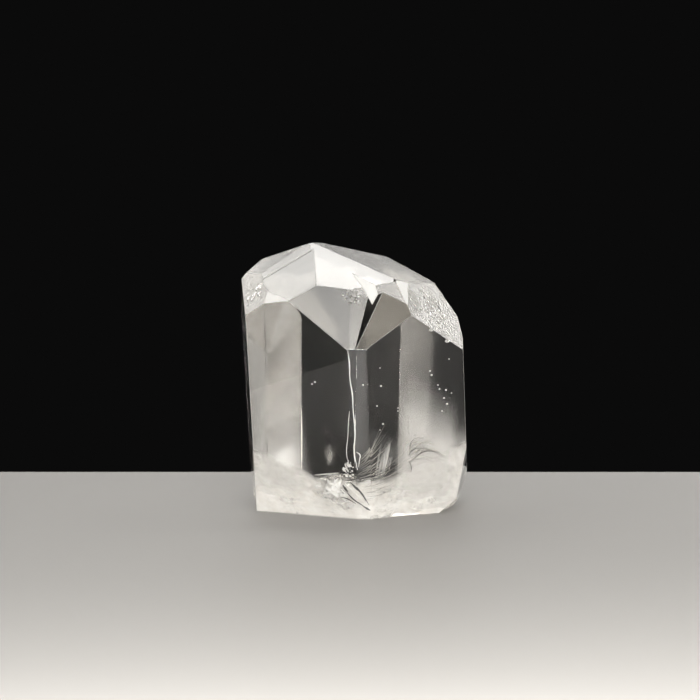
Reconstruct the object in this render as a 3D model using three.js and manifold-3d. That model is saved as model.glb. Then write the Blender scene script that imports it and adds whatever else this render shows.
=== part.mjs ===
// One clear phenakite crystal, as it was broken from its matrix: a stout six-sided prism
// with a flat-faced termination above and a shell-like (conchoidal) fracture below.
//
// Millimetres, +Z up. The front of the crystal faces -Y. The origin is under the middle of
// the crystal, on the level that its broken base rests on.

import * as THREE from "three";
import { mergeVertices } from "three/addons/utils/BufferGeometryUtils.js";
import Module from "manifold-3d";

const wasm = await Module();
wasm.setup();

// ---------------------------------------------------------------- driving dimensions

// Faces are given as on a goniometer: the azimuth of the face's normal (degrees, from the
// front towards +X), the normal's tilt from the vertical (degrees) and the face's distance
// (mm) from the crystal's middle point, which lies MIDDLE_HEIGHT above the resting level.
const MIDDLE_HEIGHT = 7.5;

// The prism stands a few degrees out of plumb, so its faces tilt a little over or under 90.
const PRISM = {
  left: { azimuth: -86.5, tilt: 93.5, distance: 6.05 },
  frontLeft: { azimuth: -30.5, tilt: 98, distance: 5.94 },
  frontEdge: { azimuth: 5, tilt: 96.5, distance: 6.7 },
  frontRight: { azimuth: 32.5, tilt: 94.5, distance: 6.02 },
  right: { azimuth: 89, tilt: 88, distance: 6.12 },
  backRight: { azimuth: 149.5, tilt: 86.8, distance: 5.23 },
  backLeft: { azimuth: 212.5, tilt: 85.8, distance: 5.5 },
};

// Low faces that form the roof, and the steep faces that cut the prism's corners.
const TERMINATION = {
  roofFrontLeft: { azimuth: -28.5, tilt: 33, distance: 7.5 },
  roofFrontRight: { azimuth: 9.5, tilt: 29, distance: 6.92 },
  roofLeft: { azimuth: -60, tilt: 29, distance: 7.9 },
  roofRight: { azimuth: 70, tilt: 19.5, distance: 6.42 },
  roofBackRight: { azimuth: 147, tilt: 14, distance: 6.8 },
  roofBackLeft: { azimuth: -134.5, tilt: 20, distance: 7.24 },
  steepFront: { azimuth: 1.5, tilt: 58.5, distance: 7.03 },
  steepFrontRight: { azimuth: 59.5, tilt: 55.5, distance: 6.66 },
  steepFrontLeft: { azimuth: -56.5, tilt: 56.5, distance: 8.04 },
  steepBackLeft: { azimuth: -108, tilt: 54.5, distance: 7.68 },
  steepBack: { azimuth: 178, tilt: 57, distance: 7.1 },
  steepBackRight: { azimuth: 124, tilt: 50, distance: 6.45 },
  sliverLeft: { azimuth: -38, tilt: 51.5, distance: 8.02 },
  sliverRight: { azimuth: 15, tilt: 43.5, distance: 7.08 },
  sliverRightEdge: { azimuth: 42, tilt: 44, distance: 7.1 },
};

// The right shoulder is rounded by growth into a run of narrow faces.
const SHOULDER = [
  { azimuth: 112, tilt: 60, distance: 5.72 },
  { azimuth: 112, tilt: 41.5, distance: 6.34 },
  { azimuth: 104, tilt: 69, distance: 6.08 },
  { azimuth: 96, tilt: 82, distance: 5.94 },
];

// The foot is worn and chipped round its right and back-left corners.
const FOOT_CHAMFERS = [
  { azimuth: 84, tilt: 101, distance: 7.1 },
  { azimuth: 88, tilt: 117, distance: 8.35 },
  { azimuth: 76, tilt: 138, distance: 9.15 },
  { azimuth: 128, tilt: 126, distance: 8.55 },
  { azimuth: -112, tilt: 118, distance: 8.35 },
];

// Growth steps: each removes what lies outside both faces, so that "floor" becomes a lower
// facet and "riser" the short wall that bounds it.
const STEPS = {
  steepFrontRecess: {
    floor: { azimuth: 5, tilt: 55.5, distance: 6.88 },
    riser: { azimuth: 25.5, tilt: 66, distance: 6.6 },
  },
  roofNotch: {
    floor: { azimuth: -14, tilt: 48, distance: 6.63 },
    riser: { azimuth: 101, tilt: 65, distance: 1.75 },
  },
};

// The left roof face drops by this much below a line that runs parallel to its ridge.
const ROOF_STEP_DEPTH = 0.06;
const ROOF_STEP_LINE = { azimuth: 33, tilt: 107, distance: -1.82 };

// The steep front face is hollowed like a thumbnail: a shallow trough, deepest at its top.
const TROUGH = { radius: 4.6, length: 9, depth: 0.13 };
const TROUGH_FOOT = new THREE.Vector3(-0.42, -6.95, 9.65);
const TROUGH_TOP = new THREE.Vector3(-2.2, -5.57, 11.95);

// The base is a conchoidal fracture: rippled bowls bitten out of the back of the foot, and
// one shallow bite under the right front face. What is left between them is the flat that
// the crystal rests on.
const BOWLS = [
  { centre: [3.1, 7.4, -1.6], radius: 4.6, towards: [-0.35, -0.75, 0.55] },
  { centre: [-3.6, 7.0, -1.5], radius: 3.7, towards: [0.3, -0.7, 0.6] },
  { centre: [3.7, -5.4, -5.7], radius: 6.0, towards: [0.0, 0.15, 1.0] },
];
const RIPPLE_DEPTH = 0.018; // of the bowl's radius
const RIPPLE_COUNT = 26; // ripples in a full turn about the bowl's middle
const NOTCH = { centre: [3.62, -4.45, 0.05], size: [0.34, 0.5, 0.3] };

// The crack that ran through the foot as the crystal was broken off is an open cleft. It
// leaves the base just behind the front faces and climbs to the back, higher at the sides
// than in the middle, and it runs out through both sides.
const FOOT_CRACK = {
  halfWidth: 6.3, // where the climb is highest
  runOut: 6.9, // how far it is cut to each side
  behindFront: 0.2,
  reach: 2.6,
  rise: 2.25,
  sideRise: 2.7,
  sidePower: 1.5,
  lean: 0.85,
  belowBase: 0.06, // the share of its run that lies under the resting level
  columns: 26,
  rows: 8,
};

// A second cleft fans out from it, up to the right: lower left, lower right, upper left and
// upper right corner, and how far its middle bulges.
const FEATHER_CRACK = {
  corners: [
    [0.2, -5.0, 0.5],
    [1.9, -4.5, 1.7],
    [0.6, -3.9, 4.9],
    [2.5, -3.1, 5.4],
  ],
  bulge: 0.3,
  cells: 8,
};
const CLEFT_OPENING = 0.05;
const BULGE_SCALE = 16; // makes u (1 - u) v (1 - v) come to 1 in a sheet's middle

// Etched relief: shallow pits and low raised lumps, scattered over three faces. A mark's
// size is given along, down and out of its face.
const ETCH = [
  {
    face: TERMINATION.steepFrontRight,
    centre: [3.3, -4.3, 12.05],
    spread: [0.34, 0.66],
    count: 16,
    size: [0.06, 0.2, 0.05],
    raised: true,
  },
  {
    face: TERMINATION.steepFrontRight,
    centre: [4.4, -3.3, 11.5],
    spread: [0.85, 1.25],
    count: 26,
    size: [0.09, 0.14, 0.05],
    raised: false,
  },
  {
    face: TERMINATION.steepFrontLeft,
    centre: [-5.47, -3.38, 12.3],
    spread: [0.48, 0.75],
    count: 20,
    size: [0.1, 0.15, 0.06],
    raised: false,
  },
  {
    face: TERMINATION.steepFront,
    centre: [-0.1, -5.16, 12.2],
    spread: [0.62, 0.5],
    count: 16,
    size: [0.09, 0.12, 0.05],
    raised: false,
  },
];
const ETCH_TURN = 2.39996; // golden angle (radians), which spreads the marks evenly

// Small nicks on the edge between the etched face and the right front prism face.
const NICKS = [
  { centre: [4.29, -4.8, 10.37], size: [0.2, 0.14, 0.12] },
  { centre: [4.75, -4.5, 10.05], size: [0.12, 0.1, 0.09] },
  { centre: [5.21, -4.15, 9.7], size: [0.24, 0.14, 0.12] },
];

const BLOCK = 40; // side of the blocks that cut the faces, larger than the crystal
const COLOUR = 0xeeede8; // water-clear, very faintly warm

// ------------------------------------------------------------------------- solids

// A closed surface as a solid.
function solidFrom(geometry) {
  const bare = geometry.clone();
  bare.deleteAttribute("normal");
  bare.deleteAttribute("uv");
  const merged = mergeVertices(bare, 1e-4);
  return new wasm.Manifold(
    new wasm.Mesh({
      numProp: 3,
      vertProperties: merged.attributes.position.array,
      triVerts: new Uint32Array(merged.index.array),
    }),
  );
}

// The unit normal of a face.
function normalOf({ azimuth, tilt }) {
  const a = THREE.MathUtils.degToRad(azimuth);
  const t = THREE.MathUtils.degToRad(tilt);
  return new THREE.Vector3(
    Math.sin(t) * Math.sin(a),
    -Math.sin(t) * Math.cos(a),
    Math.cos(t),
  );
}

// A large block with one side on the face: inside it (side -1) or outside it (side +1).
function blockAt(face, side) {
  const normal = normalOf(face);
  const geometry = new THREE.BoxGeometry(BLOCK, BLOCK, BLOCK);
  geometry.translate(0, 0, (side * BLOCK) / 2);
  const turn = new THREE.Quaternion().setFromUnitVectors(
    new THREE.Vector3(0, 0, 1),
    normal,
  );
  geometry.applyQuaternion(turn);
  const onFace = normal.multiplyScalar(face.distance);
  geometry.translate(onFace.x, onFace.y, onFace.z + MIDDLE_HEIGHT);
  return solidFrom(geometry);
}

// A small ellipsoid, square to the axes.
function ellipsoid({ centre, size }) {
  const geometry = new THREE.SphereGeometry(1, 8, 6);
  geometry.scale(...size);
  geometry.translate(...centre);
  return solidFrom(geometry);
}

// ------------------------------------------------------------------------ crystal

// The block that all the plane faces enclose, standing on the resting level.
function facetedBody() {
  const restingLevel = { azimuth: 0, tilt: 180, distance: MIDDLE_HEIGHT };
  const faces = [
    restingLevel,
    ...Object.values(PRISM),
    ...Object.values(TERMINATION),
    ...SHOULDER,
    ...FOOT_CHAMFERS,
  ];
  return faces
    .map((face) => blockAt(face, -1))
    .reduce((body, block) => body.intersect(block));
}

// What a growth step takes away.
function stepCut({ floor, riser }) {
  return blockAt(floor, 1).intersect(blockAt(riser, 1));
}

// The thin slice that lowers the front part of the left roof face.
function roofStepCut() {
  const face = TERMINATION.roofFrontLeft;
  const floor = { ...face, distance: face.distance - ROOF_STEP_DEPTH };
  return blockAt(floor, 1)
    .intersect(blockAt(ROOF_STEP_LINE, 1))
    .intersect(blockAt(TERMINATION.steepFrontLeft, -1));
}

// The shallow trough in the steep front face.
function troughCut() {
  const normal = normalOf(TERMINATION.steepFront);
  const slope = new THREE.Vector3().subVectors(TROUGH_TOP, TROUGH_FOOT);
  const run = slope.length();
  const sunkTop = TROUGH_TOP.clone().addScaledVector(normal, -TROUGH.depth);
  const axis = new THREE.Vector3().subVectors(sunkTop, TROUGH_FOOT).normalize();
  const geometry = new THREE.CylinderGeometry(
    TROUGH.radius,
    TROUGH.radius,
    TROUGH.length,
    64,
  );
  const turn = new THREE.Quaternion().setFromUnitVectors(
    new THREE.Vector3(0, 1, 0),
    axis,
  );
  geometry.applyQuaternion(turn);
  const middle = TROUGH_FOOT.clone()
    .addScaledVector(axis, run)
    .addScaledVector(normal, TROUGH.radius);
  geometry.translate(middle.x, middle.y, middle.z);
  return solidFrom(geometry);
}

// A ball whose surface ripples in rings about the point where the fracture began.
function rippledBall({ centre, radius, towards }) {
  const rings = 40;
  const profile = [];
  for (let i = 0; i <= rings; i += 1) {
    const angle = Math.PI * (1 - i / rings);
    const fade = Math.exp(-angle / 1.2);
    const ripple = RIPPLE_DEPTH * fade * Math.cos(RIPPLE_COUNT * angle);
    const reach = radius * (1 + ripple);
    const out = i === 0 || i === rings ? 0 : reach * Math.sin(angle);
    profile.push(new THREE.Vector2(out, reach * Math.cos(angle)));
  }
  const geometry = new THREE.LatheGeometry(profile, 32);
  const turn = new THREE.Quaternion().setFromUnitVectors(
    new THREE.Vector3(0, 1, 0),
    new THREE.Vector3(...towards).normalize(),
  );
  geometry.applyQuaternion(turn);
  geometry.translate(...centre);
  return solidFrom(geometry);
}

// A thin curved slab that opens along one direction. Its middle surface is given by
// place(across, along), both 0 to 1.
function cleft(columns, rows, direction, place) {
  const geometry = new THREE.BoxGeometry(1, 1, 1, columns, rows, 1);
  const corner = geometry.getAttribute("position");
  for (let i = 0; i < corner.count; i += 1) {
    const spot = place(corner.getX(i) + 0.5, corner.getY(i) + 0.5);
    spot.addScaledVector(direction, corner.getZ(i) * CLEFT_OPENING);
    corner.setXYZ(i, spot.x, spot.y, spot.z);
  }
  return solidFrom(geometry);
}

// How far back a face meets the resting level, at a place across.
function yOnBase(face, x) {
  const normal = normalOf(face);
  const reach = face.distance + normal.z * MIDDLE_HEIGHT;
  return (reach - normal.x * x) / normal.y;
}

// The crack through the foot.
function footCrack() {
  const { halfWidth, runOut, behindFront, reach, belowBase } = FOOT_CRACK;
  const fronts = [PRISM.frontLeft, PRISM.frontEdge, PRISM.frontRight];
  const up = new THREE.Vector3(0, 0, 1);
  return cleft(FOOT_CRACK.columns, FOOT_CRACK.rows, up, (across, along) => {
    const x = (2 * across - 1) * runOut;
    const share = along * (1 + belowBase) - belowBase;
    const front = Math.max(...fronts.map((face) => yOnBase(face, x)));
    const aside = Math.min(1, Math.abs(x) / halfWidth);
    const climb =
      FOOT_CRACK.rise + FOOT_CRACK.sideRise * aside ** FOOT_CRACK.sidePower;
    const lift = Math.sign(share) * Math.abs(share) ** FOOT_CRACK.lean;
    return new THREE.Vector3(
      x,
      front + behindFront + share * reach,
      climb * lift,
    );
  });
}

// The fan-shaped crack.
function featherCrack() {
  const [lowLeft, lowRight, highLeft, highRight] = FEATHER_CRACK.corners.map(
    (corner) => new THREE.Vector3(...corner),
  );
  const side = new THREE.Vector3().subVectors(lowRight, lowLeft);
  const rise = new THREE.Vector3().subVectors(highLeft, lowLeft);
  const normal = side.cross(rise).normalize();
  const { cells } = FEATHER_CRACK;
  return cleft(cells, cells, normal, (u, v) => {
    const low = lowLeft.clone().lerp(lowRight, u);
    const high = highLeft.clone().lerp(highRight, u);
    const middling = BULGE_SCALE * u * (1 - u) * v * (1 - v);
    return low.lerp(high, v).addScaledVector(normal, FEATHER_CRACK.bulge * middling);
  });
}

// The small pits or lumps of one etched patch, in a spiral over the face.
function etchMarks({ face, centre, spread, count, size }) {
  const normal = normalOf(face);
  const down = new THREE.Vector3(0, 0, -1).projectOnPlane(normal).normalize();
  const along = new THREE.Vector3().crossVectors(down, normal);
  const middle = new THREE.Vector3(...centre);
  const marks = [];
  for (let i = 0; i < count; i += 1) {
    const reach = Math.sqrt((i + 0.5) / count);
    const swell = 0.75 + 0.5 * ((i * 7) % 5) / 4;
    const place = middle
      .clone()
      .addScaledVector(along, spread[0] * reach * Math.cos(i * ETCH_TURN))
      .addScaledVector(down, spread[1] * reach * Math.sin(i * ETCH_TURN));
    const offFace = place.clone().sub(new THREE.Vector3(0, 0, MIDDLE_HEIGHT));
    place.addScaledVector(normal, face.distance - offFace.dot(normal));
    const axes = size.map((s) => s * swell);
    marks.push(etchMark(place, axes, along, down, normal));
  }
  return marks;
}

// One ellipsoid with its axes along, down and out of the face.
function etchMark(place, axes, along, down, normal) {
  const geometry = new THREE.SphereGeometry(1, 6, 4);
  geometry.scale(...axes);
  geometry.applyMatrix4(new THREE.Matrix4().makeBasis(along, down, normal));
  geometry.translate(place.x, place.y, place.z);
  return solidFrom(geometry);
}

// The whole crystal as one solid.
function crystalSolid() {
  let crystal = facetedBody();
  const cuts = [
    ...Object.values(STEPS).map(stepCut),
    roofStepCut(),
    troughCut(),
    ...BOWLS.map(rippledBall),
    footCrack(),
    featherCrack(),
    ellipsoid(NOTCH),
    ...NICKS.map(ellipsoid),
  ];
  for (const cut of cuts) crystal = crystal.subtract(cut);
  for (const patch of ETCH)
    for (const mark of etchMarks(patch))
      crystal = patch.raised ? crystal.add(mark) : crystal.subtract(mark);
  return crystal;
}

// The solid's surface, centred over the origin.
function geometryFrom(solid) {
  const mesh = solid.getMesh();
  const geometry = new THREE.BufferGeometry();
  geometry.setAttribute(
    "position",
    new THREE.BufferAttribute(mesh.vertProperties, 3),
  );
  geometry.setIndex(new THREE.BufferAttribute(mesh.triVerts, 1));
  geometry.computeBoundingBox();
  const { min, max } = geometry.boundingBox;
  geometry.translate(-(min.x + max.x) / 2, -(min.y + max.y) / 2, -min.z);
  geometry.computeVertexNormals();
  return geometry;
}

const crystal = new THREE.Mesh(
  geometryFrom(crystalSolid()),
  new THREE.MeshStandardMaterial({ color: COLOUR, roughness: 0.03, metalness: 0 }),
);
crystal.name = "crystal";

const group = new THREE.Group();
group.add(crystal);

export default group;
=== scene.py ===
"""A clear phenakite crystal, standing on its broken base on a plain pale floor.

Phenakite is a water-clear beryllium silicate. This one is a stout hexagonal prism with a
many-faced termination: smooth growth faces, one etched face, a pitted corner, and a base
that broke with the rippled, shell-like fracture of glass. Inside it are healed cracks,
milky clouds, veils and specks.

Shapes are modelled in millimetres, with the crystal's faces given as on a goniometer, and
are scaled once to metres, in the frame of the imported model.
"""

import logging
import math
from collections.abc import Callable, Iterator
from contextlib import contextmanager
from dataclasses import dataclass, replace
from enum import Enum

import bpy
from mathutils import Matrix, noise, Vector

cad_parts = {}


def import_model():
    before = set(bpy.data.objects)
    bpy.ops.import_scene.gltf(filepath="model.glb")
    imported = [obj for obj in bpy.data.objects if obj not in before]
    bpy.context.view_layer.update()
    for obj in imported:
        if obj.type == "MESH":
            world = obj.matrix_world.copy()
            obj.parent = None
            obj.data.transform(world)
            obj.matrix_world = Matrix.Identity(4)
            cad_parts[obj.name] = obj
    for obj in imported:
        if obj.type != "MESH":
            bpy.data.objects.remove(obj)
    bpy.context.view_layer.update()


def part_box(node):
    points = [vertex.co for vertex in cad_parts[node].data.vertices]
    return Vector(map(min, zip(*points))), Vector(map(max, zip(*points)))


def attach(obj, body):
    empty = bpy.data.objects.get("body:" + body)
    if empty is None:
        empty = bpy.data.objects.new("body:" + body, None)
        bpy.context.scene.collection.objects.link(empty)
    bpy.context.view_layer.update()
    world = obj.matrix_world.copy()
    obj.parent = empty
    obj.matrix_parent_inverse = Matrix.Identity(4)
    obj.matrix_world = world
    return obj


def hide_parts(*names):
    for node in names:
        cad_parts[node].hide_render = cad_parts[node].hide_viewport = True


LOG = logging.getLogger("phenakite")
NODE = "crystal"
BODY = "root"
MM = 0.001

PHENAKITE_IOR = 1.66
MIDDLE = Vector((0.0, 0.0, 7.5))
"""Point (mm) that all face distances are measured from."""
CUT_PRECISION = 1e-5
"""How close (mm) to a cut's plane a corner counts as on it."""
GOLDEN_ANGLE = 2.39996
"""Turn (radians) from each member of a spiral to the next, which spreads them evenly."""

Place = tuple[float, float, float]
Pair = tuple[float, float]
Piece = bpy.types.Object
Socket = bpy.types.NodeSocket


# --- helpers ---


def linear_colour(code: str) -> tuple[float, float, float, float]:
    """Turns an sRGB hex colour into the linear one that shaders use.

    Args:
        code: The colour as "#rrggbb".

    Returns:
        Red, green, blue and alpha, linear.
    """
    channels = [int(code[i : i + 2], 16) / 255 for i in (1, 3, 5)]
    linear = [c / 12.92 if c <= 0.04045 else ((c + 0.055) / 1.055) ** 2.4 for c in channels]
    return (*linear, 1.0)


def uneven(number: int, stride: int, steps: int, low: float, high: float) -> float:
    """One of some evenly spaced sizes; from number to number they jump by a stride of steps."""
    return low + (high - low) * (number * stride % steps) / (steps - 1)


def hump(share: float) -> float:
    """How high a smooth hump is along its run: 0 at both ends and 1 in the middle."""
    return 4 * share * (1 - share)


def spiral(count: int) -> list[Pair]:
    """Even places in a disc: how far out each is (0 to 1), and at which angle (radians)."""
    return [(math.sqrt((i + 0.5) / count), i * GOLDEN_ANGLE) for i in range(count)]


def put(thing: object, **settings: object) -> None:
    """Sets several of a thing's settings."""
    for name, value in settings.items():
        setattr(thing, name, value)


def added(operator: Callable, **options: object) -> Piece:
    """Adds an object with an operator, and selects it alone.

    Args:
        operator: Blender's operator that adds it.
        **options: The operator's options.

    Returns:
        The new object.
    """
    bpy.ops.object.select_all(action="DESELECT")
    operator(**options)
    return bpy.context.object


def make_active(piece: Piece) -> None:
    """Selects one piece alone and makes it the active one."""
    bpy.ops.object.select_all(action="DESELECT")
    piece.select_set(True)
    bpy.context.view_layer.objects.active = piece


@contextmanager
def whole_in_edit_mode(piece: Piece) -> Iterator[None]:
    """Opens a piece in edit mode with all of it selected, and closes it again."""
    make_active(piece)
    bpy.ops.object.mode_set(mode="EDIT")
    bpy.ops.mesh.select_all(action="SELECT")
    yield
    bpy.ops.object.mode_set(mode="OBJECT")


def modify(piece: Piece, kind: str, **settings: object) -> None:
    """Gives a piece a modifier and applies it.

    Args:
        piece: What is changed.
        kind: The modifier's type, such as "BEVEL".
        **settings: The modifier's settings.
    """
    modifier = piece.modifiers.new(kind.lower(), kind)
    put(modifier, **settings)
    make_active(piece)
    bpy.ops.object.modifier_apply(modifier=modifier.name)


def joined(parts: list[Piece]) -> Piece:
    """Joins pieces into one.

    Args:
        parts: The pieces, one or more.

    Returns:
        The first of them, which now holds them all.
    """
    make_active(parts[0])
    for part in parts[1:]:
        part.select_set(True)
    if parts[1:]:
        bpy.ops.object.join()
    return parts[0]


def dressed(piece: Piece, name: str, finish: "Haze | LightPaint") -> Piece:
    """Gives a piece its name and its one finish, and makes it smooth.

    Args:
        piece: The piece.
        name: Its name.
        finish: Its finish.

    Returns:
        The same piece.
    """
    piece.name = name
    piece.data.materials.clear()
    piece.data.materials.append(finish.build())
    piece.data.shade_smooth()
    return piece


def waves(place: Vector, smoothness: float, octaves: int = 4) -> float:
    """How far uneven waves stand out at a place; each is half as long as the one before."""
    return noise.fractal(place, smoothness, 2.0, octaves)


def subtract(piece: Piece, cutter: Piece, raised: bool = False) -> None:
    """Cuts one piece out of another, or adds it, and removes the cutter.

    Args:
        piece: What is cut.
        cutter: The closed shape that is taken away.
        raised: True adds the shape instead. Its parts may overlap either way.
    """
    operation = "UNION" if raised else "DIFFERENCE"
    modify(piece, "BOOLEAN", operation=operation, solver="EXACT", use_self=raised, object=cutter)
    bpy.data.objects.remove(cutter)


# --- faces ---


class Zone(Enum):
    """How a part of the crystal's surface formed. The value is its material slot."""

    SMOOTH = 0
    STRIATED = 1
    ETCHED = 2
    PITTED = 3
    FRACTURED = 4
    WORN = 5
    SATIN = 6
    SILKY = 7


@dataclass(frozen=True)
class Face:
    """One plane face, as read on a goniometer.

    The azimuth (degrees) is the normal's, from the front towards +X. The tilt (degrees) is
    the normal's, from the vertical. The distance (mm) is the face's from MIDDLE.
    """

    azimuth: float
    tilt: float
    distance: float
    zone: Zone = Zone.SMOOTH

    @property
    def normal(self) -> Vector:
        """The face's outward unit normal."""
        a, t = math.radians(self.azimuth), math.radians(self.tilt)
        return Vector((math.sin(t) * math.sin(a), -math.sin(t) * math.cos(a), math.cos(t)))

    @property
    def point(self) -> Vector:
        """The point of the face's plane that is nearest to MIDDLE (mm)."""
        return MIDDLE + self.normal * self.distance

    def y_on_base(self, x: float) -> float:
        """How far back the face meets the resting level, at a place across (mm)."""
        return (self.normal.dot(self.point) - self.normal.x * x) / self.normal.y

    def sunk(self, depth: float) -> "Face":
        """The same face, deeper by that much (mm)."""
        return Face(self.azimuth, self.tilt, self.distance - depth, self.zone)

    def height_of(self, point: Vector) -> float:
        """How far a point (mm) stands outside the face's plane."""
        return (point - self.point).dot(self.normal)


def block(size: float) -> Piece:
    """Adds a cube with that side (mm) round MIDDLE, as the start of a faceted shape."""
    piece = added(bpy.ops.mesh.primitive_cube_add, size=size, location=MIDDLE)
    bpy.ops.object.transform_apply(location=True, rotation=False, scale=False)
    return piece


def cut_along(face: Face, margin: float = 0.0, **options: bool) -> None:
    """Cuts what is selected along a face, moved inward by a margin (mm)."""
    plane = {"plane_co": face.point - face.normal * margin, "plane_no": face.normal}
    bpy.ops.mesh.bisect(**plane, threshold=CUT_PRECISION, **options)


def keep_side(piece: Piece, face: Face, inside: bool) -> None:
    """Slices a closed convex piece along a face and closes the cut.

    Args:
        piece: The piece that is sliced.
        face: The plane of the cut.
        inside: True keeps what lies behind the face, False what lies in front of it.
    """
    with whole_in_edit_mode(piece):
        cut_along(face, use_fill=True, clear_outer=inside, clear_inner=not inside)


@dataclass(frozen=True)
class Bowl:
    """A rippled hollow of a conchoidal fracture: a ball (mm) that is bitten out of the stone.

    Its surface ripples in rings about the point, towards a direction from its centre, where
    the fracture began. The ripples are a share of the radius deep there, come so many to a
    radian, and fade over their reach (radians).
    """

    centre: Place
    radius: float
    towards: Place
    ripple_depth: float = 0.018
    ripple_count: float = 26.0
    ripple_reach: float = 1.2
    rings: int = 180
    sectors: int = 96

    @property
    def ripple_slack(self) -> float:
        """A little more than the ripples' depth, as a share of the radius."""
        return 1.2 * self.ripple_depth

    def reach(self, angle: float) -> float:
        """The ball's radius (mm) at an angle (radians) from where the fracture began."""
        fade = math.exp(-angle / self.ripple_reach)
        return self.radius * (1 + self.ripple_depth * fade * math.cos(self.ripple_count * angle))

    def build(self) -> Piece:
        """Draws the ball's profile by extruding a point, and spins it.

        Returns:
            The closed ball (mm).
        """
        ball = added(bpy.ops.mesh.primitive_plane_add, size=1)
        with whole_in_edit_mode(ball):
            bpy.ops.mesh.merge(type="CENTER")
            bpy.ops.transform.translate(value=(0, 0, self.reach(0)))
            last = Vector((0, 0, self.reach(0)))
            for i in range(1, self.rings + 1):
                angle = math.pi * i / self.rings
                out = 0.0 if i == self.rings else self.reach(angle) * math.sin(angle)
                point = Vector((out, 0, self.reach(angle) * math.cos(angle)))
                bpy.ops.mesh.extrude_region_move(TRANSFORM_OT_translate={"value": point - last})
                last = point
            bpy.ops.mesh.select_all(action="SELECT")
            bpy.ops.mesh.spin(steps=self.sectors, angle=math.tau, center=(0, 0, 0), axis=(0, 0, 1))
            bpy.ops.mesh.select_all(action="SELECT")
            bpy.ops.mesh.remove_doubles(threshold=1e-4)
            bpy.ops.mesh.normals_make_consistent(inside=False)
        ball.rotation_mode = "QUATERNION"
        ball.rotation_quaternion = Vector(self.towards).to_track_quat("Z", "Y")
        ball.location = self.centre
        bpy.ops.object.transform_apply(location=True, rotation=True, scale=False)
        return ball


def ellipsoid(centre: Place | Vector, half_axes: Place, fineness: int) -> Piece:
    """Adds an ellipsoid (mm), square to the axes, whose faces are divided that often."""
    ball = added(
        bpy.ops.mesh.primitive_ico_sphere_add,
        subdivisions=fineness,
        location=centre,
        scale=half_axes,
    )
    bpy.ops.object.transform_apply(location=True, rotation=False, scale=True)
    return ball


@dataclass(frozen=True)
class Nick:
    """A small chip: an ellipsoid (mm), square to the axes, that is bitten out of an edge."""

    centre: Place
    size: Place

    def build(self) -> Piece:
        """Adds the ellipsoid that is cut away."""
        return ellipsoid(self.centre, self.size, 3)


@dataclass(frozen=True)
class EtchPatch:
    """A patch of small pits or hillocks on an etched face, spread in a spiral.

    Sizes are in mm: the patch's spread along and down the face, and each mark's half-axes
    along, down and out of it.
    """

    face: Face
    centre: Place
    spread: Pair
    count: int
    size: Place
    raised: bool = False

    def build(self) -> Piece:
        """Adds the marks as one piece of many small ellipsoids.

        Returns:
            The marks (mm), to be cut out of the stone or joined to it.
        """
        normal = self.face.normal
        down = (Vector((0, 0, -1)) + normal * normal.z).normalized()
        along = down.cross(normal)
        basis = Matrix((along, down, normal)).transposed()
        marks = []
        for i, (out, angle) in enumerate(spiral(self.count)):
            swell = uneven(i, 7, 5, 0.75, 1.25)
            place = Vector(self.centre)
            place += along * self.spread[0] * out * math.cos(angle)
            place += down * self.spread[1] * out * math.sin(angle)
            place -= normal * self.face.height_of(place)
            mark = added(bpy.ops.mesh.primitive_ico_sphere_add, subdivisions=3, location=place)
            mark.rotation_euler = basis.to_euler()
            mark.scale = [s * swell for s in self.size]
            bpy.ops.object.transform_apply()
            marks.append(mark)
        return joined(marks[-1:] + marks[:-1])


# --- finishes ---


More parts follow.
